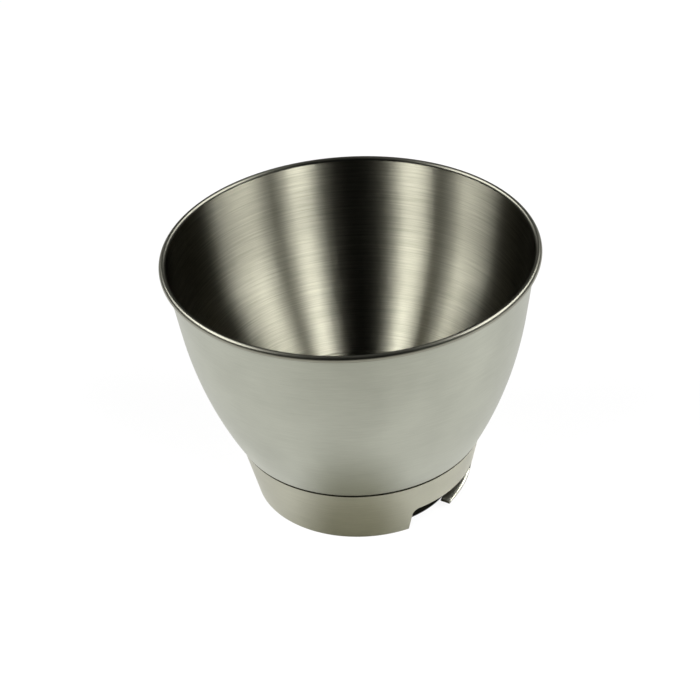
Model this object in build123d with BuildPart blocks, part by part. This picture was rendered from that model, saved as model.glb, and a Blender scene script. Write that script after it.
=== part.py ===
"""Stainless steel bowl of a stand mixer: a deep-drawn shell on a conical base ring.

The bowl stands on its ring. The origin is the middle of the ring's lower edge, +Z points up,
and -Y is the side that faces the viewer. All sizes are in millimetres.
"""

import os
from math import asin, cos, degrees, radians, sin, tan

from build123d import *

# Overall size
rim_diameter = 230.0
height = 167.0

# Shell: one sheet, drawn deep and rolled over at the rim
shell_sheet = 0.9
bead_diameter = 4.1
bead_turn = 285.0  # how far the rim curls round, in degrees
wall_draft = 8.6  # lean of the straight upper wall from vertical, in degrees
belly_top = 125.5  # height where the straight wall runs into the curved belly
belly_radius = 265.0  # radius of the belly's outer face, seen from the side
shoulder_height = 40.2  # height where the belly turns in over the ring
shoulder_slope = 24.0  # fall of the shoulder towards the axis, in degrees
knuckle_radius = 32.0
floor_height = 9.0  # underside of the bowl's flat floor above the table

# Steps of the shell's curves. The curves are drawn as short cones, which keeps the facets few.
knuckle_steps = 4
belly_steps = 5
curl_steps = 3  # for each quarter of the curl
curl_inside_steps = 4

# Base ring: one conical band, pierced and folded
ring_sheet = 1.2
ring_foot_radius = 67.7
ring_draft = 12.9
ring_height = 38.8
ring_edge = 0.3  # chamfer on the edges of the band

# Bayonet stations on the ring. Angles go round from the front (-Y) towards +X.
station_count = 2
notch_start = 23.5
notch_end = 77.0
notch_height = 16.7
notch_corner = 4.0
ledge_end = 50.0  # where the free end of the ledge stands
ledge_inner_radius = 62.5
ledge_low = 6.0  # top of the ledge where the lead-in begins
ledge_high = 9.0  # top of the ledge where it meets the band
lead_in_drop = 2.0
lead_in_length = 2.4
ledge_bend = 2.2
ledge_root = 3.0  # level length of the ledge that joins it to the band


def ring_radius(z):
    """Outer radius of the base ring at height z."""
    return ring_foot_radius + z * tan(radians(ring_draft))


def along_arc(centre, radius, first, last, steps):
    """Points at equal angles along an arc, each with the way that leads out from the centre."""
    points = []
    for step in range(steps + 1):
        angle = radians(first + (last - first) * step / steps)
        away = (cos(angle), sin(angle))
        points.append(((centre[0] + radius * away[0], centre[1] + radius * away[1]), away))
    return points


def shifted(arc_points, amount):
    """The same points moved away from the arc's centre."""
    return [(p[0] + amount * away[0], p[1] + amount * away[1]) for p, away in arc_points]


def crossing(point, way, other_point, other_way):
    """Where two lines cross. Each is given by one of its points and the way it runs."""
    across = way[0] * other_way[1] - way[1] * other_way[0]
    between = (other_point[0] - point[0], other_point[1] - point[1])
    run = (between[0] * other_way[1] - between[1] * other_way[0]) / across
    return (point[0] + run * way[0], point[1] + run * way[1])


def facing(azimuth):
    """Upright plane through the axis, seen from outside at this angle round from the front."""
    angle = radians(azimuth)
    return Plane(origin=(0, 0, 0), x_dir=(cos(angle), sin(angle), 0), z_dir=(sin(angle), -cos(angle), 0))


ring_sheet_level = ring_sheet / cos(radians(ring_draft))  # the sheet measured along a radius

# The shell's outer face, from the axis outwards and up. The seat band is a cone that fits the
# inside of the ring, and the knuckle is tangent to it and to the floor.
seat_foot = ring_foot_radius - ring_sheet_level
seat_lean = tan(radians(ring_draft))
knuckle_centre_height = floor_height + knuckle_radius
knuckle_centre = (
    seat_foot + knuckle_centre_height * seat_lean - knuckle_radius / cos(radians(ring_draft)),
    knuckle_centre_height,
)
knuckle = along_arc(knuckle_centre, knuckle_radius, -90, -ring_draft, knuckle_steps)

# The rim's curl: the wall's outer face becomes the inside of the curl, which few see, so it has
# longer steps. The outside reaches the full height and diameter at the ends of its quarters.
draft = radians(wall_draft)
bead_outer = bead_diameter / 2
bead_centre = (rim_diameter / 2 - bead_outer, height - bead_outer)
curl_start = 180 - wall_draft
curl_end = curl_start - bead_turn
curl_inside = along_arc(bead_centre, bead_outer - shell_sheet, curl_start, curl_end, curl_inside_steps)
curl_outside = along_arc(bead_centre, bead_outer, curl_start, 90, curl_steps)
curl_outside += along_arc(bead_centre, bead_outer, 90, 0, curl_steps)[1:]
curl_outside += along_arc(bead_centre, bead_outer, 0, curl_end, curl_steps + 1)[1:]

# The belly's arc runs into the straight wall at belly_top and ends where the shoulder starts.
wall_top = curl_inside[0][0]
belly_start_radius = wall_top[0] - (wall_top[1] - belly_top) * tan(draft)
belly_centre = (
    belly_start_radius - belly_radius * cos(draft),
    belly_top + belly_radius * sin(draft),
)
belly_end_angle = -degrees(asin((belly_centre[1] - shoulder_height) / belly_radius))
belly = along_arc(belly_centre, belly_radius, belly_end_angle, -wall_draft, belly_steps)

# The shoulder's line falls from the belly's end to where it meets the seat band.
belly_end = belly[0][0]
seat_way = (seat_lean, 1)
shoulder_way = (1, tan(radians(shoulder_slope)))
seat_top = crossing((seat_foot, 0), seat_way, belly_end, shoulder_way)

# The sheet's thickness lies on the inner side of the outer face. At the two bends of the shoulder,
# the inner corners are where the inner lines of the neighbouring stretches cross.
inner_seat_foot = (seat_foot - shell_sheet / cos(radians(ring_draft)), 0)
inner_shoulder = (belly_end[0], belly_end[1] + shell_sheet / cos(radians(shoulder_slope)))
inner_belly = shifted(belly, -shell_sheet)
belly_way = (-sin(radians(belly_end_angle)), cos(radians(belly_end_angle)))
inner_seat_top = crossing(inner_seat_foot, seat_way, inner_shoulder, shoulder_way)
inner_belly_end = crossing(inner_shoulder, shoulder_way, inner_belly[0], belly_way)

# The shell is the sheet's section turned round the axis: along its outer face to the end of the
# curl, and back along its inner face.
outer_face = (
    [(0, floor_height)] + shifted(knuckle, 0) + [seat_top] + shifted(belly, 0) + shifted(curl_inside, 0)
)
inner_face = (
    [(0, floor_height + shell_sheet)] + shifted(knuckle, -shell_sheet)
    + [inner_seat_top, inner_belly_end] + inner_belly[1:] + shifted(curl_outside, 0)
)
with BuildPart() as bowl_shell:
    with BuildSketch(Plane.XZ):
        with BuildLine():
            Polyline(*outer_face, *reversed(inner_face), close=True)
        make_face()
    revolve(axis=Axis.Z)

# Half lengths of the notch and of the ledge, measured straight across
station_radius = ring_radius(notch_height / 2)
notch_half_width = station_radius * sin(radians((notch_end - notch_start) / 2))
ledge_half_length = station_radius * sin(radians((notch_end - ledge_end) / 2))

# What is cut out of the band at one station: a notch with rounded upper corners, pierced with a
# straight tool, so its sides are parallel.
with BuildPart() as notch:
    with BuildSketch(facing((notch_start + notch_end) / 2)):
        with BuildLine():
            FilletPolyline(
                (-notch_half_width, -notch_height),
                (-notch_half_width, notch_height),
                (notch_half_width, notch_height),
                (notch_half_width, -notch_height),
                radius=[notch_corner, notch_corner],
            )
            Line((notch_half_width, -notch_height), (-notch_half_width, -notch_height))
        make_face()
    extrude(amount=rim_diameter / 2)

# The ledge that slides under a stud of the mixer as the bowl is turned. From the side it is bent
# sheet: a gentle slope that ends in a short steeper lead-in. Its inner edge follows a circle.
with BuildPart() as ledge:
    with BuildSketch(facing((ledge_end + notch_end) / 2)):
        with BuildLine():
            FilletPolyline(
                (-ledge_half_length, ledge_low - lead_in_drop),
                (-ledge_half_length + lead_in_length, ledge_low),
                (ledge_half_length, ledge_high),
                (ledge_half_length + ledge_root, ledge_high),
                radius=[ledge_bend, ledge_bend],
            )
            offset(amount=ring_sheet, side=Side.RIGHT)
        make_face()
    extrude(amount=rim_diameter / 2)
    Cylinder(ledge_inner_radius, height, mode=Mode.SUBTRACT)

# All the space that the ring surrounds, with its notches, less the ledges that stand in it.
with BuildPart() as ring_space:
    with BuildSketch(Plane.XZ):
        with BuildLine():
            Polyline(
                (0, 0),
                (seat_foot + ring_edge, 0),
                (seat_foot + ring_edge * seat_lean, ring_edge),
                (ring_radius(ring_height) - ring_sheet_level, ring_height),
                (0, ring_height),
                close=True,
            )
        make_face()
    revolve(axis=Axis.Z)
    with PolarLocations(0, station_count):
        add(notch.part)
    with PolarLocations(0, station_count):
        add(ledge.part, mode=Mode.SUBTRACT)

# The ring is a cone less that space, so band and ledges share one outer face, as they do when they
# are pierced and folded from one strip. The sheared edges of the band are broken by a small chamfer.
with BuildPart() as base_ring:
    with BuildSketch(Plane.XZ):
        with BuildLine():
            Polyline(
                (0, 0),
                (ring_radius(0), 0),
                (ring_radius(ring_height), ring_height),
                (0, ring_height),
                close=True,
            )
        cone = make_face()
        chamfer(cone.vertices().group_by(Axis.X)[1:], length=ring_edge)
    revolve(axis=Axis.Z)
    add(ring_space.part, mode=Mode.SUBTRACT)

bowl_shell.part.label = "bowl_shell"
base_ring.part.label = "base_ring"
os.makedirs("parts", exist_ok=True)
export_step(bowl_shell.part, "parts/bowl_shell.step")
export_step(base_ring.part, "parts/base_ring.step")
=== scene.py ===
# %% [markdown]
# # A steel bowl for a stand mixer
#
# The real bowl is one sheet of stainless steel, drawn deep by a press, brushed inside and given
# a satin finish outside. A conical ring below it locks onto the mixer. This script dresses the
# engineering model of the bowl: it makes the visible surfaces, their finishes, the studio and
# the camera. The engineering model is the frame, and nothing here moves or resizes it.

# %% Load the frame
from math import radians

import bpy
import numpy as np
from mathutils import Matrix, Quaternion, Vector


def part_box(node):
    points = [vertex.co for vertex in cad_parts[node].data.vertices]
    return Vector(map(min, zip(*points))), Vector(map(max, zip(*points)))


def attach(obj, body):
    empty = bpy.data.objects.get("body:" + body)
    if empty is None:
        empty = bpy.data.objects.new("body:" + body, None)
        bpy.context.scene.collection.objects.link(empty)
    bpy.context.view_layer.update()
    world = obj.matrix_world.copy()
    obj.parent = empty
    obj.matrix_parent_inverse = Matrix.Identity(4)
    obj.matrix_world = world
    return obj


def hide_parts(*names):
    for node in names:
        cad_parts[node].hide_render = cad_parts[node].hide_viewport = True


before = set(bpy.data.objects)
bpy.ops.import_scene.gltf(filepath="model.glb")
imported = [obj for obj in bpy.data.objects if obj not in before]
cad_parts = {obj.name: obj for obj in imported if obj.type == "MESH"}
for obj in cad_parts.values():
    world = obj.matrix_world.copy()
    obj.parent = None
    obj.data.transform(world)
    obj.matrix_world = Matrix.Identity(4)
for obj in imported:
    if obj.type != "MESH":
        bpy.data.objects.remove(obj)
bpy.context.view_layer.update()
shell_low, shell_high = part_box("bowl_shell")
ring_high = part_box("base_ring")[1]

# %% [markdown]
# ## The sheet seen from the side
#
# A bowl is a section turned round an axis, so its whole shape is in one line. The line below is
# the sheet's outer face: flat floor, knuckle, seat band inside the ring, shoulder over the ring,
# curved belly, straight leaning wall and the curl of the rim. Lines and arcs carry their own
# tangents, so the sheet's thickness can be laid off exactly at right angles. Drawing it with a
# few arcs, and not with many points, keeps the reflections in the polished steel smooth.

# %% Sizes of the shell, in millimetres
MM = 0.001  # one millimetre in metres
rim_radius = round(shell_high.x / MM, 1)
rim_top = round(shell_high.z / MM, 1)
shell_sheet = 0.9
bead_radius = 2.05
bead_turn = radians(285)  # how far the rim curls round
wall_draft = radians(8.6)  # lean of the straight wall from vertical
belly_top = 125.5  # height where the straight wall runs into the curved belly
belly_radius = 265.0
shoulder_height = 40.2  # height where the belly turns in over the ring
shoulder_slope = radians(24)
shoulder_bend = 1.3
seat_bend = 0.6
knuckle_radius = 32.0
floor_height = round(shell_low.z / MM, 1)
print("rim radius", rim_radius, "rim top", rim_top, "floor", floor_height)


# %% Lines and arcs that know their tangents
def line(start, end, steps):
    """Points spaced evenly from start to end, each with the line's own direction."""
    start, end = np.array(start, float), np.array(end, float)
    share = np.linspace(0, 1, steps + 1)[:, None]
    points = start + (end - start) * share
    direction = (end - start) / np.linalg.norm(end - start)
    return points, np.repeat(direction[None], steps + 1, axis=0)


def arc(centre, radius, first, last, steps):
    """Points at equal angles on a circle. The tangent is a quarter turn ahead of the radius,
    or behind it where the angle falls."""
    angle = np.linspace(first, last, steps + 1)
    spoke = np.stack([np.cos(angle), np.sin(angle)], axis=1)
    ahead = np.stack([-np.sin(angle), np.cos(angle)], axis=1) * np.sign(last - first)
    return np.array(centre) + radius * spoke, ahead


print("a quarter turn of radius 1 ends at", arc((0, 0), 1, 0, np.pi / 2, 8)[0][-1].round(3))


# %% Rounded corners, and runs end to end
def corner(before, at, after, radius, steps):
    """The arc that rounds a corner. Its centre is on the corner's bisector, and it starts and
    ends where circles of that radius touch the two sides."""
    before, at, after = (np.array(p, float) for p in (before, at, after))
    side_in = (before - at) / np.linalg.norm(before - at)
    side_out = (after - at) / np.linalg.norm(after - at)
    half = np.arccos(np.clip(side_in @ side_out, -1, 1)) / 2
    middle = (side_in + side_out) / np.linalg.norm(side_in + side_out)
    centre = at + middle * radius / np.sin(half)
    start = at + side_in * radius / np.tan(half) - centre
    end = at + side_out * radius / np.tan(half) - centre
    first = np.arctan2(start[1], start[0])
    turn = np.arctan2(start[0] * end[1] - start[1] * end[0], start @ end)
    return arc(centre, radius, first, first + turn, steps)


def joined(runs):
    """Lines and arcs end to end, as points and tangents. Where two meet, the point is kept once,
    with the tangent of the first."""
    points = np.concatenate([run[0][1:] if i else run[0] for i, run in enumerate(runs)])
    tangents = np.concatenate([run[1][1:] if i else run[1] for i, run in enumerate(runs)])
    return points, tangents


rounded = corner((0, 0), (1, 0), (1, 1), 0.25, 8)[0]
print("a corner at (1, 0) rounded by 0.25 runs from", rounded[0].round(3), "to", rounded[-1].round(3))

# %% Curl, wall and belly of the shell
# The straight wall is tangent to the inside of the curl and to the belly's arc.
curl_centre = np.array([rim_radius - bead_radius, rim_top - bead_radius])
curl_radius = bead_radius - shell_sheet
wall_way = np.array([np.sin(wall_draft), np.cos(wall_draft)])
wall_top = curl_centre + curl_radius * np.array([-wall_way[1], wall_way[0]])
belly_start = wall_top - wall_way * (wall_top[1] - belly_top) / wall_way[1]
belly_centre = belly_start - belly_radius * np.array([wall_way[1], -wall_way[0]])
belly_drop = belly_centre[1] - shoulder_height
belly_reach = np.sqrt(belly_radius**2 - belly_drop**2)
belly_end = np.array([belly_centre[0] + belly_reach, shoulder_height])
belly_end_angle = -np.arcsin(belly_drop / belly_radius)
belly_end_way = np.array([-np.sin(belly_end_angle), np.cos(belly_end_angle)])
print("belly from", belly_end.round(2), "to", belly_start.round(2))

# %% Shoulder, seat band and knuckle of the shell
# The seat band lies on the inside of the ring's cone. It ends where it meets the shoulder's
# line above, and the floor's level below.
ring_sheet = 1.2
ring_foot_radius = 67.7
ring_draft = radians(12.9)
seat_foot = ring_foot_radius - ring_sheet / np.cos(ring_draft)
slope, seat_lean = np.tan(shoulder_slope), np.tan(ring_draft)
seat_z = (shoulder_height - slope * (belly_end[0] - seat_foot)) / (1 - slope * seat_lean)
seat_top = (seat_foot + seat_z * seat_lean, seat_z)
knuckle_corner = (seat_foot + floor_height * seat_lean, floor_height)
floor_middle = (0, floor_height)
print("seat band from", np.round(knuckle_corner, 2), "to", np.round(seat_top, 2))

# %% The shell's outer line
curl_steps = 22
knuckle_arc = corner(floor_middle, knuckle_corner, seat_top, knuckle_radius, 26)
seat_arc = corner(knuckle_corner, seat_top, belly_end, seat_bend, 4)
shoulder_arc = corner(seat_top, belly_end, belly_end + belly_end_way, shoulder_bend, 5)
belly_first = np.arctan2(*(shoulder_arc[0][-1] - belly_centre)[::-1])
curl_first = np.pi - wall_draft
# From the middle of the floor to the end of the curl. The last value of a run is its steps,
# which are shortest where the sheet bends most.
outer_line, outer_tangent = joined(
    [
        line(floor_middle, knuckle_arc[0][0], 14),
        knuckle_arc,
        line(knuckle_arc[0][-1], seat_arc[0][0], 3),
        seat_arc,
        line(seat_arc[0][-1], shoulder_arc[0][0], 2),
        shoulder_arc,
        arc(belly_centre, belly_radius, belly_first, -wall_draft, 40),
        line(belly_start, wall_top, 20),
        arc(curl_centre, curl_radius, curl_first, curl_first - bead_turn, curl_steps),
    ]
)
print("shell line has", len(outer_line), "points, widest", outer_line[:, 0].max().round(2))

# %% [markdown]
# ## Surfaces as grids
#
# Blender could turn the line with its Screw or Spin tool, but those know nothing of the sheet.
# Every piece here is a grid of points in rows and columns instead. The columns close round into
# a tube, and a row can shrink to a single point, which closes an end. Each corner of a face also
# gets a place in a map of the steel sheet: the share of a turn, and the distance along the sheet
# in metres. The brush lines of the finishes need that distance, because it stays even where the
# sheet bends.

# %% Grid to faces
point_size = 1e-9  # a row of points closer together than this, in metres, is one point


def surface(points, along, finish, looped=False):
    """A grid of points (rows, columns, 3). Each face joins a point, its neighbour in the next
    column, and the same two in the next row. A looped grid also joins its last row to its first.
    along is the distance along the sheet, and finish the material of the faces after each row,
    or after each point of the grid."""
    rows, columns = points.shape[:2]
    pole = np.ptp(points, axis=1).max(axis=1) < point_size
    single = pole[:, None] & (np.arange(columns) > 0)
    number = np.cumsum(~single).reshape(rows, columns) - 1
    number[pole] = number[pole][:, :1]
    along = np.broadcast_to(along, (rows + looped, columns))
    if looped:
        number = np.concatenate([number, number[:1]])
    turn = np.broadcast_to(np.arange(columns) / columns, along.shape)

    def faces(grid, after):
        """The four corners of every face. after is what the first column adds to its value when
        it closes the tube after the last one."""
        right = np.roll(grid, -1, axis=1)
        right[:, -1] += after
        return np.stack([grid[:-1], right[:-1], right[1:], grid[1:]], axis=2).reshape(-1, 4)

    finish = np.asarray(finish).reshape(len(finish), -1)
    strip = np.broadcast_to(finish, (len(finish), columns))[: len(number) - 1].ravel()
    return points[~single], faces(number, 0), faces(turn, 1.0), faces(along, 0.0), strip


# %% A section turned round the axis
def turned(section, finish, segments, looped=False):
    """A section of radius and height in millimetres, turned round the Z axis: each point is at
    (r cos a, r sin a, z). Its distance along the sheet is the sum of the section's steps so far."""
    angle = np.linspace(0, 2 * np.pi, segments, endpoint=False)
    radius, height = section[:, :1] * MM, section[:, 1:] * MM
    level = np.broadcast_to(height, (len(section), segments))
    points = np.stack([radius * np.cos(angle), radius * np.sin(angle), level], axis=2)
    steps = np.diff(np.concatenate([section, section[:1]]), axis=0)
    travel = np.concatenate([[0], np.cumsum(np.hypot(*steps.T))]) * MM
    travel = travel[:, None] if looped else travel[:-1, None]
    return surface(points, travel, finish, looped)


disc = turned(np.array([[0.0, 0.0], [10.0, 0.0]]), [0, 0], 6)
print("a disc of 6 segments has", len(disc[0]), "points and", len(disc[1]), "faces")


# %% Several surfaces as one
def put_together(surfaces):
    """Several surfaces as one. The numbers of each one's points count on from the last one's."""
    counts = np.cumsum([0] + [len(each[0]) for each in surfaces])
    coords = np.concatenate([each[0] for each in surfaces])
    quads = np.concatenate([each[1] + first for each, first in zip(surfaces, counts)])
    turn, along, strip = (np.concatenate([each[part] for each in surfaces]) for part in (2, 3, 4))
    return coords, quads, turn, along, strip


print("two discs together have", len(put_together([disc, disc])[0]), "points")

# %% A mesh from surfaces
sharp_above = radians(50)  # edges that fold by more than this are shaded as creases


def make_piece(name, surfaces, materials):
    """One mesh object from surfaces, at the origin. A face at a single point loses a corner."""
    coords, quads, turn, along, strip = put_together(surfaces)
    keep = quads != np.roll(quads, 1, axis=1)
    sizes = keep.sum(axis=1)
    first = np.concatenate([[0], np.cumsum(sizes)[:-1]])
    mesh = bpy.data.meshes.new(name)
    mesh.vertices.add(len(coords))
    mesh.vertices.foreach_set("co", coords.ravel())
    mesh.loops.add(int(sizes.sum()))
    mesh.loops.foreach_set("vertex_index", quads[keep].astype(np.int32))
    mesh.polygons.add(len(quads))
    mesh.polygons.foreach_set("loop_start", first.astype(np.int32))
    mesh.polygons.foreach_set("material_index", strip.astype(np.int32))
    mesh.polygons.foreach_set("use_smooth", np.ones(len(quads), bool))
    mesh.update(calc_edges=True)
    uv = mesh.uv_layers.new(name="sheet")
    uv.data.foreach_set("uv", np.stack([turn[keep], along[keep]], axis=1).ravel())
    mesh.set_sharp_from_angle(angle=sharp_above)
    mesh.validate()
    piece = bpy.data.objects.new(name, mesh)
    bpy.context.scene.collection.objects.link(piece)
    for material in materials:
        mesh.materials.append(material)
    print(name, len(mesh.vertices), "vertices", len(mesh.polygons), "faces")
    return piece


# %% [markdown]
# ## Finishes
#
# Stainless steel of the 18/8 kind is a slightly warm grey. Inside, an abrasive belt has run round
# and round the turning bowl, and its grooves follow the circumference. Such grooves spread light
# only across themselves, so lamps are drawn out into upright bands. Outside, the same steel is
# finer and duller, a satin that shows soft pools of light. The grooves could be modelled, or
# painted as a picture. Here the shader's anisotropy spreads the light, and a stretched noise
# gives the lines that the eye can pick out, so the finish holds at any distance. Colours are
# written as the usual screen hex values, and one function turns them linear.

# %% Colour and node helpers
def linear(hex_colour):
    """A screen colour such as "a9a9a0" as linear light. By the sRGB curve, a value up to 0.04045
    is divided by 12.92, and above that it is ((value + 0.055) / 1.055) to the power of 2.4."""
    value = np.array([int(hex_colour[i : i + 2], 16) for i in (0, 2, 4)]) / 255
    light = np.where(value <= 0.04045, value / 12.92, ((value + 0.055) / 1.055) ** 2.4)
    return (*light.tolist(), 1.0)


def add(tree, kind, settings=None, **links):
    """Adds one node. settings are its properties and the values of its unlinked sockets.
    links are other nodes' outputs, by socket name, with _ for a space and a digit for a place."""
    node = tree.nodes.new(kind)
    for key, value in (settings or {}).items():
        if isinstance(key, str) and hasattr(node, key):
            setattr(node, key, value)
        else:
            node.inputs[key].default_value = value
    for key, output in links.items():
        place = int(key[1:]) if key[1:].isdigit() else key.replace("_", " ")
        tree.links.new(output, node.inputs[place])
    return node


def new_material(name):
    """An empty node material and its tree."""
    material = bpy.data.materials.new(name)
    material.use_nodes = True
    material.node_tree.nodes.clear()
    return material, material.node_tree


print("mid grey 808080 is", round(linear("808080")[0], 3), "in linear light")

# %% Brush lines
finer_share = 0.72  # each finer octave of the noise is this strong, against the one before
noise_reach = {"From Min": 0.33, "From Max": 0.67}  # nearly all of the noise lies between these


def brush_lines(tree, spacing_mm, length_mm, octaves):
    """Noise drawn out round the bowl, from 0 to 1. It is read at (x, y) over the length of a
    groove and at the distance along the sheet over the spacing of the grooves, so it has no
    seam."""
    place = add(tree, "ShaderNodeTexCoord")
    sheet = add(tree, "ShaderNodeUVMap", {"uv_map": "sheet"})
    flat = add(tree, "ShaderNodeSeparateXYZ", Vector=place.outputs["Object"])
    run = add(tree, "ShaderNodeSeparateXYZ", Vector=sheet.outputs["UV"])
    over_length = {"operation": "MULTIPLY", 1: 1 / (length_mm * MM)}
    over_spacing = {"operation": "MULTIPLY", 1: 1 / (spacing_mm * MM)}
    x = add(tree, "ShaderNodeMath", over_length, _0=flat.outputs["X"])
    y = add(tree, "ShaderNodeMath", over_length, _0=flat.outputs["Y"])
    z = add(tree, "ShaderNodeMath", over_spacing, _0=run.outputs["Y"])
    drawn_out = add(tree, "ShaderNodeCombineXYZ", X=x.outputs[0], Y=y.outputs[0], Z=z.outputs[0])
    grain = {"Scale": 1.0, "Detail": octaves, "Roughness": finer_share}
    noise = add(tree, "ShaderNodeTexNoise", grain, Vector=drawn_out.outputs[0])
    return add(tree, "ShaderNodeMapRange", noise_reach, Value=noise.outputs["Fac"]).outputs[0]


print("noise from", noise_reach["From Min"], "to", noise_reach["From Max"], "is stretched to 0 to 1")

# %% [markdown]
# ## Patches, and steel seen in steel
#
# Hands and washing leave soft patches in a satin finish, a few hundredths lighter or darker and
# a few centimetres wide. They could be painted, but a second, coarse noise gives them at once.
#
# Steel also mirrors steel. Each mirroring takes some light away, and in the photograph the
# darkest places, where one wall mirrors the other, are nearly black. So a ray that comes from
# another piece of steel meets a darker colour than a ray from the camera does. That darker
# colour is painted shade.

# %% Patches, and steel seen in steel
patch_width_mm = 32.0
patches = {"Scale": 1 / (patch_width_mm * MM), "Detail": 2.0}
patch_strength = {"From Min": 0.3, "From Max": 0.7, "To Min": 0.93, "To Max": 1.03}
steel_in_steel_painted_shade = linear("1e1c14")


def patchy(tree, colour):
    """The colour times a soft noise that runs from 0.93 to 1.03."""
    place = add(tree, "ShaderNodeTexCoord")
    noise = add(tree, "ShaderNodeTexNoise", patches, Vector=place.outputs["Object"])
    factor = add(tree, "ShaderNodeMapRange", patch_strength, Value=noise.outputs["Fac"])
    times = {"operation": "SCALE"}
    return add(tree, "ShaderNodeVectorMath", times, _0=colour, Scale=factor.outputs[0]).outputs[0]


def darker_when_mirrored(tree, colour):
    """The colour, or for a glossy ray a painted shade: the darker colour of steel seen in steel."""
    path = add(tree, "ShaderNodeLightPath")
    other = {"data_type": "RGBA", 7: steel_in_steel_painted_shade}
    return add(tree, "ShaderNodeMix", other, _0=path.outputs["Is Glossy Ray"], _6=colour).outputs[2]


print("patches are", patch_width_mm, "mm wide")

# %% Steel with grooves round the axis
across_the_grooves = 0.25  # quarter of a turn from the tangent, which runs along the grooves


def steel(name, colours, roughness, anisotropy, grooves_mm, octaves, depth_mm):
    """Steel whose grooves run round the axis. colours are the two between which the grooves
    vary, grooves_mm their spacing and length, octaves how many finer ones lie between them, and
    depth_mm their depth. The colour is then made patchy, and painted darker where steel mirrors
    it, as shade."""
    material, tree = new_material(name)
    grooves = brush_lines(tree, *grooves_mm, octaves)
    dark, light = (linear(colour) for colour in colours)
    tint = add(tree, "ShaderNodeMix", {"data_type": "RGBA", 6: dark, 7: light}, _0=grooves)
    # Painted shade: steel seen in steel gets a darker colour than its own.
    tint = darker_when_mirrored(tree, patchy(tree, tint.outputs[2]))
    bump = add(tree, "ShaderNodeBump", {"Strength": 1.0, "Distance": depth_mm * MM}, Height=grooves)
    round_axis = add(tree, "ShaderNodeTangent", {"direction_type": "RADIAL", "axis": "Z"})
    gloss = {"Metallic": 1.0, "Roughness": roughness}
    gloss.update({"Anisotropic": anisotropy, "Anisotropic Rotation": across_the_grooves})
    shader = add(
        tree,
        "ShaderNodeBsdfPrincipled",
        gloss,
        Base_Color=tint,
        Normal=bump.outputs[0],
        Tangent=round_axis.outputs[0],
    )
    add(tree, "ShaderNodeOutputMaterial", Surface=shader.outputs[0])
    return material


# %% Finishes of the shell
# Real grooves are about a tenth of a millimetre apart. Here and on the ring they are drawn at
# 0.3 to 0.8 mm, because finer ones fall between the pixels of a picture.
#
# 18/8 stainless, belt-brushed: fine level streaks, and lamps drawn out into upright bands.
brushed_inside = steel(
    "stainless_belt_brushed",
    colours=("adab98", "c9c7b4"),
    roughness=0.28,
    anisotropy=1.0,
    grooves_mm=(0.8, 40.0),
    octaves=4.0,
    depth_mm=0.026,
)
# The same steel, satin-polished with a finer grit: wide soft pools of light, hardly a streak.
satin_outside = steel(
    "stainless_satin_polished",
    colours=("b8baad", "c0c2b5"),
    roughness=0.34,
    anisotropy=0.7,
    grooves_mm=(0.6, 16.0),
    octaves=3.0,
    depth_mm=0.004,
)
# Rolled over a wheel after polishing, which burnishes the grooves: an even line of light.
rolled_rim = steel(
    "stainless_rolled_rim",
    colours=("a3a294", "adac9e"),
    roughness=0.33,
    anisotropy=0.2,
    grooves_mm=(0.6, 12.0),
    octaves=3.0,
    depth_mm=0.002,
)
print("finishes", [each.name for each in (brushed_inside, satin_outside, rolled_rim)])

# %% Finishes of the ring
# Satin-polished as a strip, before it is bent and welded: like the shell, a little warmer.
satin_ring = steel(
    "stainless_satin_ring",
    colours=("b5b4a3", "bfbead"),
    roughness=0.34,
    anisotropy=0.6,
    grooves_mm=(0.6, 16.0),
    octaves=3.0,
    depth_mm=0.004,
)
# Pressed to shape and rubbed by the mixer's studs: a clean shine that runs no particular way.
pressed_ledge = steel(
    "stainless_pressed_ledge",
    colours=("b6b5a6", "c2c1b2"),
    roughness=0.32,
    anisotropy=0.0,
    grooves_mm=(0.5, 6.0),
    octaves=3.0,
    depth_mm=0.001,
)
# Sheared by a punch and not polished after: torn and rough, as a cut edge of sheet is. Its dark
# colour is partly that rough cut edge and partly painted shade.
sheared_edge_painted_shade = steel(
    "stainless_sheared_edge",
    colours=("403e33", "4e4c40"),
    roughness=0.55,
    anisotropy=0.0,
    grooves_mm=(0.3, 1.0),
    octaves=3.0,
    depth_mm=0.01,
)
print("finishes", [each.name for each in (satin_ring, pressed_ledge, sheared_edge_painted_shade)])

# %% [markdown]
# ## The shell
#
# The inner line is the outer one moved by the sheet's thickness along its normals. The section up
# to the curl is closed across the sheet, and so is the curl, because the rolled rim is a piece of
# its own. It has its own finish, and a lamp can be told to leave it out, as a photographer holds
# a card in front of a lamp to keep one edge dark.

# %% Make the shell and its rim
round_steps = 360
inner_normal = np.stack([-outer_tangent[:, 1], outer_tangent[:, 0]], axis=1)
inner_line = outer_line + shell_sheet * inner_normal
wall_end = len(outer_line) - curl_steps
wall = np.concatenate([outer_line[:wall_end], inner_line[:wall_end][::-1]])
wall_finish = np.repeat([0, 1], wall_end)  # the outer line's finish, then the inner line's
curl = np.concatenate([outer_line[wall_end - 1 :], inner_line[wall_end - 1 :][::-1]])
curl_finish = np.zeros(len(curl), int)
bowl = turned(wall, wall_finish, round_steps)
shell = make_piece("bowl_steel", [bowl], [satin_outside, brushed_inside])
bead = turned(curl, curl_finish, round_steps, looped=True)
rim = make_piece("rim_steel", [bead], [rolled_rim])
for piece in (shell, rim):
    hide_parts("bowl_shell")
    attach(piece, "root")

# %% [markdown]
# ## The base ring
#
# The ring is a strip of thicker steel, bent to a cone and welded. At two places a press has cut a
# notch from its lower edge, and a ledge stands in each notch. As the bowl is turned on the mixer,
# each ledge slides under a stud and pulls the bowl down. A cut-out could be a boolean, but that
# leaves sharp edges, which look like paper. Here the grid's columns start from the outline of the
# lower edge, up the notch's sides and over its top, and lean until they are even at the top of the
# ring. The rows go once round the sheet: up the outer face, over the top edge, down the inner face
# and under the lower edge. So every edge can be rounded as a pressed edge is.

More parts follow.
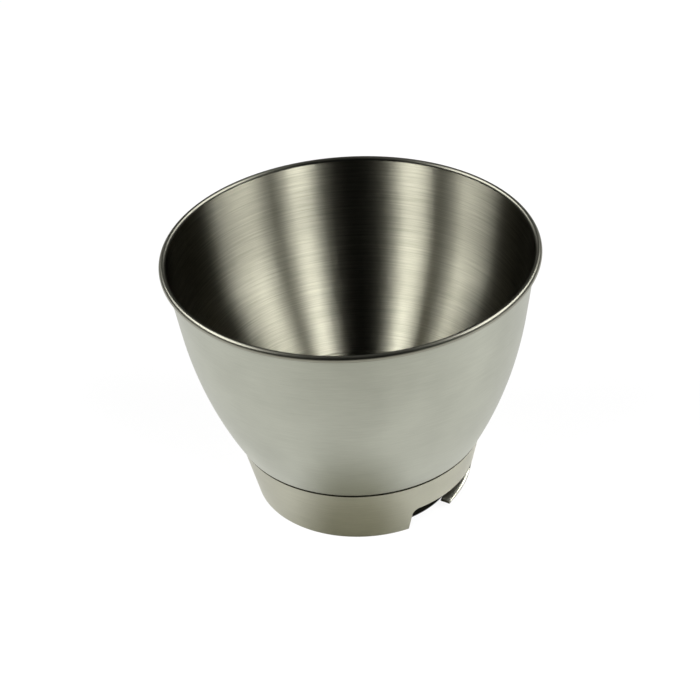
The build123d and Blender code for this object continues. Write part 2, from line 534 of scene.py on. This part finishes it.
# %% Sizes of the ring
seam_gap = 0.5  # the ring ends this far below its solid, so that the seam shows as a dark line
ring_height = round(ring_high.z / MM, 1) - seam_gap
ring_depth = ring_sheet / np.cos(ring_draft)  # the sheet measured along a radius
edge_round = 0.3
notch_middle = radians(50.25)  # azimuth, from the front towards +X
notch_half_width = 31.33  # measured straight across
notch_top = 16.7
notch_corner = 4.0
foot_corner = 0.5  # where the foot turns up into the notch's side
station_turns = np.radians([0, 180])


def cone_radius(z):
    """Outer radius of the ring at a height, in millimetres: the foot's radius and the height
    times the tangent of the draft."""
    return ring_foot_radius + z * np.tan(ring_draft)


foot_end = np.arcsin((notch_half_width + foot_corner) / cone_radius(0))
print("ring", 2 * round(cone_radius(0), 1), "to", 2 * round(cone_radius(ring_height), 1), "mm wide")
print("half a notch takes", np.degrees(foot_end).round(1), "degrees of the foot")

# %% Outline of the lower edge at one station
foot_columns = 40


def mirrored(half, flip):
    """A row of values and its mirror image. The first and the middle value are kept once."""
    return np.concatenate([half, half[-2:0:-1] * flip])


def lower_edge():
    """Half the circle's lower edge with one notch in the middle. For each point: distance across
    the notch and height, and the way out of the sheet there, a quarter turn right of the way
    along."""
    side, low = notch_half_width, foot_corner
    foot = np.linspace(-np.pi / 2, -foot_end, foot_columns, endpoint=False)
    foot = np.stack([cone_radius(0) * np.sin(foot), np.zeros(foot_columns)], axis=1)
    corner_centre = (-side + notch_corner, notch_top - notch_corner)
    points, ahead = joined(
        [
            arc((-side - low, low), low, -np.pi / 2, 0, 4),
            line((-side, low), (-side, notch_top - notch_corner), 6),
            arc(corner_centre, notch_corner, np.pi, np.pi / 2, 8),
            line((-side + notch_corner, notch_top), (0, notch_top), 14),
        ]
    )
    points = np.concatenate([foot, points])
    ahead = np.concatenate([np.tile([1.0, 0.0], (foot_columns, 1)), ahead])
    way_out = np.stack([ahead[:, 1], -ahead[:, 0]], axis=1)
    flip = np.array([-1.0, 1.0])
    return mirrored(points, flip), mirrored(way_out, flip)


edge_points, edge_out = lower_edge()
edge_azimuth = np.arcsin(edge_points[:, 0] / cone_radius(edge_points[:, 1]))
print("outline points at one station", len(edge_points))

# %% Where the columns end at the top of the ring
fan_start = foot_end + radians(7)
fan_end = foot_end - radians(2.5)
fan_steps = 16


def column_tops():
    """Azimuth of each column at the top, from the notch's middle. The columns of the notch's
    side fan out over a few degrees there, so that the faces above the notch stay even."""
    beside = np.linspace(-np.pi / 2, -fan_start, foot_columns + 1)[:-1]
    fan = np.linspace(-fan_start, -fan_end, fan_steps + 1)
    over = np.linspace(-fan_end, 0, fan_steps + 1)[1:]
    return mirrored(np.concatenate([beside, fan, over]), -1)


top_azimuth = column_tops()
print("columns at the top", len(top_azimuth), "fan from", np.degrees(fan_start).round(1), "degrees")

# %% Rows round the band's sheet
rise = np.concatenate([[0, 0.012], np.linspace(0.06, 0.94, 10), [0.988, 1]])


def rows_round_the_sheet():
    """The rows that follow the columns, and then those over the top edge. The first have three
    values each: how far inside the outline, what share of the way up, and how deep in the sheet.
    They go up the outer face, down the inner face and round the lower edge. The others have a
    height and a depth. An edge rounded by e is e (1 - sin b) from one side of its corner and
    e (1 - cos b) from the other, with b from 0 to a quarter turn."""
    bend = np.linspace(0, np.pi / 2, 5)
    e, depth, full = edge_round, ring_depth, np.ones(len(rise))
    inset = [e * full, e * full, e * (1 - np.sin(bend[1:])), e * (1 - np.cos(bend[:-1]))]
    share = [rise, rise[::-1], np.zeros(8)]
    deep = [0 * full, depth * full, depth - e * (1 - np.cos(bend[1:])), e * (1 - np.sin(bend[:-1]))]
    follow = [np.concatenate(each)[:, None] for each in (inset, share, deep)]
    top_z = ring_height - e + e * np.sin(bend[1:])
    over_z = np.concatenate([top_z, top_z[::-1][1:], [ring_height - e]])
    over_deep = np.concatenate([e * (1 - np.cos(bend[1:])), depth - e * (1 - np.sin(bend[1:]))])
    return follow, (over_z[:, None], over_deep[:, None])


follow_rows, over_rows = rows_round_the_sheet()
print("rows round the sheet", len(follow_rows[0]) + len(over_rows[0]))

# %% The band with its notches
punch_ends = radians(75)  # from here on, measured from the notch's middle, the sheet is unpunched
punch_fades_over = radians(25)


def wrapped_sheet(start):
    """The closed skin of half the band, turned by start. A point at azimuth a, height z and depth
    h is at ((r - h) sin a, -(r - h) cos a, z), with r the cone's radius at z. Near the notch the
    punch went straight in, so there the distance across, t, stays: a = arcsin(t / (r - h))."""
    inset, share, deep = follow_rows
    across = edge_points[:, 0] - inset * edge_out[:, 0]
    low = edge_points[:, 1] - inset * edge_out[:, 1]
    punched = np.clip((punch_ends - np.abs(edge_azimuth)) / punch_fades_over, 0, 1)
    punched = punched * np.ones_like(share)
    straight_in = np.arcsin(np.clip(across / cone_radius(low), -1, 1))
    foot_azimuth = np.where(punched > 0, straight_in, edge_azimuth)
    height = low + (ring_height - edge_round - low) * share
    azimuth = foot_azimuth + (top_azimuth - foot_azimuth) * share
    punched = punched * (1 - share) ** 2
    radius = cone_radius(height) - deep
    straight_in = np.arcsin(np.clip(cone_radius(height) * np.sin(azimuth) / radius, -1, 1))
    azimuth = azimuth + punched * (straight_in - azimuth)

    over_z, over_deep = over_rows
    over_z = over_z * np.ones(len(edge_points))
    over_radius = cone_radius(over_z) - over_deep
    cut = len(rise)
    azimuth = np.concatenate([azimuth[:cut], top_azimuth * np.ones_like(over_z), azimuth[cut:]])
    azimuth = azimuth + start
    radius = np.concatenate([radius[:cut], over_radius, radius[cut:]])
    height = np.concatenate([height[:cut], over_z, height[cut:]])
    return np.stack([radius * np.sin(azimuth), -radius * np.cos(azimuth), height], axis=2) * MM


band = np.concatenate([wrapped_sheet(notch_middle + turn) for turn in station_turns], axis=1)
travel = np.linalg.norm(np.diff(np.concatenate([band, band[:1]])[:, 0], axis=0), axis=1)
band_along = np.concatenate([[0], np.cumsum(travel)])[:, None]
print("band grid", band.shape[:2])

# %% [markdown]
# ## The ledges
#
# Each ledge is folded inward from the strip that the ring is made of. Its top starts low at the
# free end, with a short steeper lead-in, and rises gently to its root. A box bent by hand would
# do from afar, but the light in the photograph runs along the ledge's rounded outer edge. So its
# section is drawn with all four edges rounded, carried along the line of its top, and fitted
# between a circle inside and the ring's cone outside. The outer lip leans down a little, as the
# edge of pressed sheet does, and catches the light as one fine line.

# %% The line of a ledge's top
ledge_middle = radians(63.5)  # azimuth, from the front towards +X
ledge_half_length = 16.25
ledge_low, ledge_high = 6.0, 9.0  # height of its top, where the lead-in ends and at its root
lead_in_drop, lead_in_length = 2.0, 2.4
ledge_bend = 2.2  # radius of the two bends in its line
ledge_root = 3.0  # level length that joins it to the band


def ledge_line():
    """The ledge's top seen from outside, from its free end to its root: points and tangents."""
    tip = (-ledge_half_length, ledge_low - lead_in_drop)
    low = (-ledge_half_length + lead_in_length, ledge_low)
    high = (ledge_half_length, ledge_high)
    root = (ledge_half_length + ledge_root, ledge_high)
    first = corner(tip, low, high, ledge_bend, 5)
    second = corner(low, high, root, ledge_bend, 5)
    runs = [line(tip, first[0][0], 3), first, line(first[0][-1], second[0][0], 16), second]
    return joined(runs + [line(second[0][-1], root, 3)])


print("ledge line has", len(ledge_line()[0]), "points")

# %% The section of a ledge
edge_bend, lip_roll = 0.25, 0.3
outer_edge = slice(10, 14)  # the columns of the section that lie on its outer, sheared edge


def ledge_section():
    """The section's outline as columns: inner upper edge, top, outer upper edge, outer lower
    edge, underside and inner lower edge. Each column has its share of the way outwards, a shift
    outwards in millimetres, and a depth below the top. A rounded edge is e (1 - sin b) from one
    side of its corner and e (1 - cos b) from the other, with b from a quarter turn to 0."""
    bend = np.linspace(np.pi / 2, 0, 5)
    by_sin, by_cos = 1 - np.sin(bend), 1 - np.cos(bend)
    e, roll, thick = edge_bend, lip_roll, ring_sheet
    share = [np.zeros(5), [0.3, 0.62], np.ones(10), [0.62, 0.3], np.zeros(5)]
    shift = [e * by_sin, [0, 0], -roll * by_cos, -e * by_sin, [0, 0], e * by_cos]
    deep = [e * by_cos, [0, 0], roll * by_sin]
    deep += [thick - e * by_cos, [thick, thick], thick - e * by_sin]
    return [np.concatenate(each) for each in (share, shift, deep)]


print("ledge section has", len(ledge_section()[0]), "columns")

# %% The skin of a ledge
ledge_inner_radius = 62.5
inside_the_cone = 0.05  # keeps the ledge's outer edge just inside the ring's own face
lip_width, lip_bend = 1.7, radians(23)
cap_rows = ((0.0, 0.0), (0.82, 0.0), (0.94, 0.08))  # size, and how far inwards in millimetres


def end_cap(row, inwards):
    """Rows that close an end. Each is the end's own row, shrunk towards its middle and moved
    inwards. The first is a point, and the last rounds the end's edge."""
    middle = row.mean(axis=0)
    return [middle + (row - middle) * size + [inwards * step, 0, 0] for size, step in cap_rows]


def ledge_skin(start):
    """A bar of rounded section along the ledge's line, between an inner circle and the ring's
    cone. A point at distance t along, n outwards and height z is at t * along + n * outwards, with
    n = sqrt(r * r - t * t). The lip goes down by its width outwards times the tangent of its
    bend. Both ends shrink to a point, which closes them."""
    line_points, tangents = ledge_line()
    share, shift, deep = ledge_section()
    t = line_points[:, :1] + tangents[:, 1:] * deep
    z = line_points[:, 1:] - tangents[:, :1] * deep
    inner = np.sqrt(ledge_inner_radius**2 - t**2)
    outer = np.sqrt((cone_radius(z) - inside_the_cone) ** 2 - t**2)
    n = inner + (outer - inner) * share + shift
    z = z - np.clip(n - outer + lip_width, 0, None) * np.tan(lip_bend)
    grid = np.stack([t, n, z], axis=2)
    free_end, root = end_cap(grid[0], 1), end_cap(grid[-1], -1)
    grid = np.concatenate([free_end, grid[1:-1], root[::-1]])
    turn = ledge_middle + start
    along = np.array([np.cos(turn), np.sin(turn), 0])
    outwards = np.array([np.sin(turn), -np.cos(turn), 0])
    upwards = np.array([0, 0, 1.0])
    return (grid[..., :1] * along + grid[..., 1:2] * outwards + grid[..., 2:] * upwards) * MM


ledges = [ledge_skin(turn) for turn in station_turns]
print("ledge grid", ledges[0].shape[:2], "highest", round(ledges[0][..., 2].max() / MM, 2), "mm")

# %% Make the ring
# Sheared, and darkened with painted shade, are the ring's top edge, and the free end and the outer
# edge of each ledge.
satin, pressed, sheared = 0, 1, 2  # places in the list of the ring's finishes
round_the_section = 0.02  # distance round a ledge's section, in metres
band_finish = np.full(len(band), satin)
band_finish[len(rise) - 1 : len(rise) + len(over_rows[0])] = sheared
surfaces = [surface(band, band_along, band_finish, looped=True)]
for ledge in ledges:
    width = np.linspace(0, round_the_section, ledge.shape[1])[None]
    ledge_finish = np.full(ledge.shape[:2], pressed)
    ledge_finish[: len(cap_rows)] = sheared
    ledge_finish[:, outer_edge] = sheared
    surfaces.append(surface(ledge, width, ledge_finish))
ring = make_piece("ring_steel", surfaces, [satin_ring, pressed_ledge, sheared_edge_painted_shade])
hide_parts("base_ring")
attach(ring, "root")

# %% [markdown]
# ## Studio
#
# Bowls like this are photographed on white paper in a dark room, between tall soft boxes. Steel
# shows its surroundings more than itself, so the room matters as much as the lamps.
#
# The paper is a flat sheet, so wide that its end is out of sight. To the camera it is white by its
# own glow, mixed with a plain diffuse sheet that keeps a faint shadow of the bowl. What the steel
# mirrors of it is set apart and carries painted shade: a painted shadow just in front of the foot,
# under the belly that hangs over the paper, and a painted fade to darker far in front. Inside the
# ring, where light comes in only by the notches, the paper's colour is a painted shadow, nearly black.

# %% Floor
floor_half = 12.0
floor_drop = 0.0002  # the sheet lies this far under the foot, so that the two don't share a face
floor_mesh = bpy.data.meshes.new("floor")
corners = [(-floor_half, -floor_half, 0), (floor_half, -floor_half, 0), (floor_half, floor_half, 0)]
floor_mesh.from_pydata(corners + [(-floor_half, floor_half, 0)], [], [(0, 1, 2, 3)])
floor = bpy.data.objects.new("floor", floor_mesh)
floor.location.z = -floor_drop
bpy.context.scene.collection.objects.link(floor)
print("paper", floor_half * 2, "m wide")

# %% The paper's own colour, with a painted shadow inside the ring
# White, matt paper to the camera. Every other ray meets a mid grey, so that the paper throws no
# more light up at the steel than it does in the photograph.
painted_shadow_in_ring = {"interpolation_type": "SMOOTHSTEP", "From Min": 0.0580, "From Max": 0.0590}
paper, tree = new_material("white_paper")
path = add(tree, "ShaderNodeLightPath")
place = add(tree, "ShaderNodeTexCoord")
away = add(tree, "ShaderNodeVectorMath", {"operation": "LENGTH"}, _0=place.outputs["Object"])
outside = add(tree, "ShaderNodeMapRange", painted_shadow_in_ring, Value=away.outputs["Value"])
two_greys = {"data_type": "RGBA", 6: linear("717066"), 7: linear("f2f2f2")}
open_paper = add(tree, "ShaderNodeMix", two_greys, _0=path.outputs["Is Camera Ray"])
# Painted shadow: within 58 mm of the axis, under the bowl, the paper's colour is nearly black.
shaded = {"data_type": "RGBA", 6: linear("181814")}
sheet = add(tree, "ShaderNodeMix", shaded, _0=outside.outputs[0], _7=open_paper.outputs[2])
diffuse = add(tree, "ShaderNodeBsdfDiffuse", Color=sheet.outputs[2])
print("paper is shaded within", painted_shadow_in_ring["From Min"] / MM, "mm of the axis")

# %% What the steel mirrors of the paper
# A painted shadow of the belly depends on the distance from its middle, 78 mm in front of the axis:
# the length of (x, y) scaled and moved. A painted fading depends on y alone. The two are multiplied.
painted_shadow_middle = {"Location": (0.009, 0.078, 0.0), "Scale": (0.95, 1.0, 0.0)}
smooth = {"interpolation_type": "SMOOTHSTEP"}
painted_shadow_edge = {**smooth, "From Min": 0.012, "From Max": 0.062, "To Max": 0.81}
painted_fading = {**smooth, "From Min": -0.15, "From Max": -0.28, "To Min": 1.0, "To Max": 0.5}
times = {"operation": "MULTIPLY"}
moved = add(tree, "ShaderNodeMapping", painted_shadow_middle, Vector=place.outputs["Object"])
distance = add(tree, "ShaderNodeVectorMath", {"operation": "LENGTH"}, _0=moved.outputs[0])
unshaded = add(tree, "ShaderNodeMapRange", painted_shadow_edge, Value=distance.outputs["Value"])
forward = add(tree, "ShaderNodeSeparateXYZ", Vector=place.outputs["Object"])
painted_fade = add(tree, "ShaderNodeMapRange", painted_fading, Value=forward.outputs["Y"])
bright = add(tree, "ShaderNodeMath", times, _0=unshaded.outputs[0], _1=painted_fade.outputs[0])
print("mirrored paper falls to", painted_fading["To Max"], "of its light in front")

# %% Glowing and plain paper mixed
# The camera sees the glow at 0.88 and the plain sheet at the rest, which keeps the shadow. Glossy
# and transmitted rays see the glow with the painted shade of the last cell. Other rays see no glow.
camera_glow = 0.88
larger = {"operation": "MAXIMUM"}
rays = (path.outputs["Is Glossy Ray"], path.outputs["Is Transmission Ray"])
# Inside the ring the camera sees no glow, only the painted shadow.
seen = add(tree, "ShaderNodeMath", times, _0=path.outputs["Is Camera Ray"], _1=outside.outputs[0])
in_view = add(tree, "ShaderNodeMath", {**times, 1: camera_glow}, _0=seen.outputs[0])
mirrored_or_through = add(tree, "ShaderNodeMath", larger, _0=rays[0], _1=rays[1])
in_steel = add(tree, "ShaderNodeMath", times, _0=mirrored_or_through.outputs[0], _1=bright.outputs[0])
share = add(tree, "ShaderNodeMath", larger, _0=in_view.outputs[0], _1=in_steel.outputs[0])
glow = add(tree, "ShaderNodeEmission", {"Color": (1, 1, 1, 1), "Strength": 1.0})
layers = {"_0": share.outputs[0], "_1": diffuse.outputs[0], "_2": glow.outputs[0]}
mixed = add(tree, "ShaderNodeMixShader", **layers)
add(tree, "ShaderNodeOutputMaterial", Surface=mixed.outputs[0])
floor_mesh.materials.append(paper)
print("paper has", len(tree.nodes), "nodes")

# %% [markdown]
# ## World
#
# The room behind the paper. A world can light a scene from all round, but steel in a lit world
# looks like plaster: its darks come from a dark room. So the world is white where the camera
# looks past the paper, and black to everything else.

# %% World
world = bpy.data.worlds.new("studio")
bpy.context.scene.world = world
world.use_nodes = True
world.node_tree.nodes.clear()
path = add(world.node_tree, "ShaderNodeLightPath")
white = {"Color": (1, 1, 1, 1)}
background = add(world.node_tree, "ShaderNodeBackground", white, Strength=path.outputs["Is Camera Ray"])
add(world.node_tree, "ShaderNodeOutputWorld", Surface=background.outputs[0])
print("world", world.name, "is white to the camera alone")

# %% [markdown]
# ## Lamps
#
# Each lamp is a tall soft box. The bands inside the bowl are the mirror images of lamps: the wall
# at an angle behind the middle shows the lamp at twice that angle on the other side. Two narrow
# keys in front make the bright bands on the back wall, and two wider ones at the sides light the
# side walls and the outside. A photographer holds cards in front of lamps to keep them off an
# edge, and light linking does the same here. The keys and the side lamps are kept off the rim.
# Two wide, weak ones behind draw the rim's thin line of light, and a small one lights the lip of
# the ledge.

# %% Lamps
lamp_distance = 1.6
aim_height = 0.1  # the bowl's middle, from which the elevations are measured


def soft_box(name, azimuth, width, low, high, radiance):
    """An upright lamp on a stand, facing the bowl. azimuth goes round from the camera's side
    towards +X, width is also an angle, and low and high are the elevations of its edges, all in
    degrees. An edge is above the aim by the distance times the tangent of its angle. The power
    is radiance times area times pi."""
    bottom, top = (aim_height + lamp_distance * np.tan(radians(edge)) for edge in (low, high))
    data = bpy.data.lights.new(name, "AREA")
    data.shape = "RECTANGLE"
    data.size = 2 * lamp_distance * np.tan(radians(width / 2))
    data.size_y = top - bottom
    data.energy = radiance * data.size * data.size_y * np.pi
    lamp = bpy.data.objects.new(name, data)
    back = Vector((np.sin(radians(azimuth)), -np.cos(radians(azimuth)), 0))
    lamp.location = back * lamp_distance + Vector((0, 0, (bottom + top) / 2))
    lamp.rotation_mode = "QUATERNION"
    lamp.rotation_quaternion = back.to_track_quat("Z", "Y")
    lamp.visible_camera = False
    bpy.context.scene.collection.objects.link(lamp)
    return lamp


key_right = soft_box("key_right", azimuth=31.5, width=17, low=15, high=57, radiance=11.2)
key_left = soft_box("key_left", azimuth=-45, width=20, low=15, high=57, radiance=11.0)
side_right = soft_box("side_right", azimuth=78, width=36, low=22, high=54, radiance=12.0)
side_left = soft_box("side_left", azimuth=-94, width=30, low=22, high=54, radiance=12.2)
back_right = soft_box("back_right", azimuth=114, width=80, low=38, high=59, radiance=3.7)
back_left = soft_box("back_left", azimuth=-114, width=80, low=38, high=59, radiance=3.7)
low_back = soft_box("low_back", azimuth=128, width=16, low=40, high=58, radiance=12.0)
print("lamps", [each.name for each in bpy.data.lights])


# %% Cards in front of the lamps
def light_only(lamps, pieces):
    """The lamps light these pieces and no others, as if cards stood in front of them."""
    lit = bpy.data.collections.new("lit_by_" + lamps[0].name)
    for piece in pieces:
        lit.objects.link(piece)
    for lamp in lamps:
        lamp.light_linking.receiver_collection = lit


light_only((key_right, key_left, side_right, side_left), (shell, ring, floor))
light_only((back_right, back_left), (rim,))
light_only((low_back,), (ring,))

# %% [markdown]
# ## Camera
#
# The place and lens come from the ellipses of the rim, the seam and the foot in the photograph.
# A circle seen from the side is an ellipse, and three of them at known heights give the camera's
# height, distance and lens. The slight roll is the photograph's own.

# %% Camera
camera_place = Vector((0.0, -1.0723, 0.8281))
camera_aim = Vector((-0.0037, 0.0042, 0.0910))
camera_roll = radians(-3.64)
camera_data = bpy.data.cameras.new("camera")
camera_data.sensor_width = 36.0
camera_data.lens = 108.0
camera = bpy.data.objects.new("camera", camera_data)
camera.location = camera_place
look = (camera_aim - camera_place).to_track_quat("-Z", "Y")
camera.rotation_mode = "QUATERNION"
camera.rotation_quaternion = look @ Quaternion((0, 0, 1), camera_roll)
bpy.context.scene.collection.objects.link(camera)
bpy.context.scene.camera = camera
bpy.context.scene.view_settings.view_transform = "Standard"
print("camera", round((camera_aim - camera_place).length, 3), "m from what it looks at")
